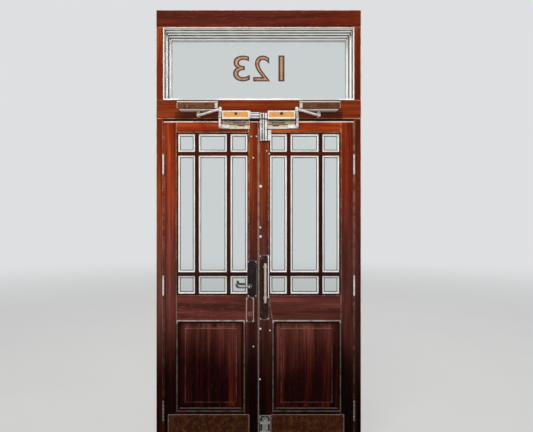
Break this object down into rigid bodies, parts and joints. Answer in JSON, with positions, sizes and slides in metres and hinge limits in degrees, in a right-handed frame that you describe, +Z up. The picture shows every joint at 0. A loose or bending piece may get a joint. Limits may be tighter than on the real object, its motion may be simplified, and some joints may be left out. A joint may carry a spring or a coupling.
{
  "type": "double entrance door with transom light",
  "caption": "Pair of glazed and panelled timber swing doors in a frame with a fixed transom light, closers and magnetic lock.",
  "frame": {"origin": "on the underside of the threshold, midway between the jambs, in the plane of the leaves' inside face", "axes": "+Z up; +X to the right seen from inside the room; +Y out through the doorway, so the room is on -Y"},
  "size_m": [1.319, 0.4251, 2.857],
  "materials": {
    "frame_timber": "stained and varnished hardwood, satin gloss",
    "leaf_timber": "stained and varnished mahogany, satin gloss",
    "threshold_timber": "oiled hardwood, worn",
    "pale_paint": "cream painted timber, eggshell",
    "glass": "clear",
    "bright_steel": "satin",
    "closer_body": "bronze metallic paint",
    "closer_arms": "bronze metallic paint, rubbed bright",
    "bronze_plate": "dark bronze sheet, scuffed",
    "dark_bronze": "oil-rubbed bronze, worn at the edges",
    "gold_bracket": "gold anodised",
    "magnet_case": "satin anodised"
  },
  "bodies": {
    "frame": {"left_jamb": "frame_timber", "right_jamb": "frame_timber", "head_rail": "frame_timber", "transom_bar": "frame_timber", "threshold": "threshold_timber", "transom_lining": "pale_paint", "transom_beads": "pale_paint", "transom_glass": "glass", "left_frame_hinges": "bright_steel", "right_frame_hinges": "bright_steel", "left_closer": "closer_body", "right_closer": "closer_body", "magnet_housing": "magnet_case", "bolt_keepers": "bright_steel"},
    "left_leaf": {"left_hinge_stile": "leaf_timber", "left_meeting_stile": "leaf_timber", "left_top_rail": "leaf_timber", "left_lock_rail": "leaf_timber", "left_bottom_rail": "leaf_timber", "left_glazing_bars": "leaf_timber", "left_glass": "glass", "left_panel": "leaf_timber", "left_panel_moulding": "leaf_timber", "left_kick_plate": "bronze_plate", "left_leaf_hinges": "bright_steel", "left_magnet_bracket": "gold_bracket", "left_closer_shoe": "closer_arms", "lock_plates": "dark_bronze"},
    "right_leaf": {"right_hinge_stile": "leaf_timber", "right_meeting_stile": "leaf_timber", "right_top_rail": "leaf_timber", "right_lock_rail": "leaf_timber", "right_bottom_rail": "leaf_timber", "right_glazing_bars": "leaf_timber", "right_glass": "glass", "right_panel": "leaf_timber", "right_panel_moulding": "leaf_timber", "right_kick_plate": "bronze_plate", "right_leaf_hinges": "bright_steel", "right_magnet_bracket": "gold_bracket", "right_closer_shoe": "closer_arms", "pull_handle": "dark_bronze", "top_bolt": "bright_steel", "bottom_bolt": "bright_steel"},
    "lever": {"lever_handle": "bright_steel"},
    "left_main_arm": {"left_main_arm": "closer_arms"},
    "left_forearm": {"left_forearm": "closer_arms"},
    "right_main_arm": {"right_main_arm": "closer_arms"},
    "right_forearm": {"right_forearm": "closer_arms"}
  },
  "joints": [
    {"name": "left_leaf_swing", "type": "hinge", "parent": "frame", "child": "left_leaf", "pos_m": [-0.614, -0.007, 1.085], "axis": [0, 0, -1], "range_deg": [0, 80], "stiffness_Nm_per_rad": 3},
    {"name": "right_leaf_swing", "type": "hinge", "parent": "frame", "child": "right_leaf", "pos_m": [0.614, -0.007, 1.085], "axis": [0, 0, 1], "range_deg": [0, 80], "stiffness_Nm_per_rad": 3},
    {"name": "lever_turn", "type": "hinge", "parent": "left_leaf", "child": "lever", "pos_m": [-0.056, -0.05, 1.079], "axis": [0, -1, 0], "range_deg": [0, 45], "stiffness_Nm_per_rad": 0.8},
    {"name": "left_main_arm_turn", "type": "hinge", "parent": "frame", "child": "left_main_arm", "pos_m": [-0.382, -0.033, 2.172], "axis": [0, 0, -1], "range_deg": [0, 82]},
    {"name": "right_main_arm_turn", "type": "hinge", "parent": "frame", "child": "right_main_arm", "pos_m": [0.382, -0.033, 2.172], "axis": [0, 0, 1], "range_deg": [0, 82]},
    {"name": "left_forearm_turn", "type": "hinge", "parent": "left_leaf", "child": "left_forearm", "pos_m": [-0.247, -0.035, 2.1615], "axis": [0, 0, -1], "range_deg": [0, 123]},
    {"name": "right_forearm_turn", "type": "hinge", "parent": "right_leaf", "child": "right_forearm", "pos_m": [0.247, -0.035, 2.1615], "axis": [0, 0, 1], "range_deg": [0, 123]}
  ],
  "couplings": [
    {"joint": "left_main_arm_turn", "follows": "left_leaf_swing", "ratio": 1.0197},
    {"joint": "left_forearm_turn", "follows": "left_leaf_swing", "ratio": 1.5274},
    {"joint": "right_main_arm_turn", "follows": "right_leaf_swing", "ratio": 1.0197},
    {"joint": "right_forearm_turn", "follows": "right_leaf_swing", "ratio": 1.5274}
  ]
}
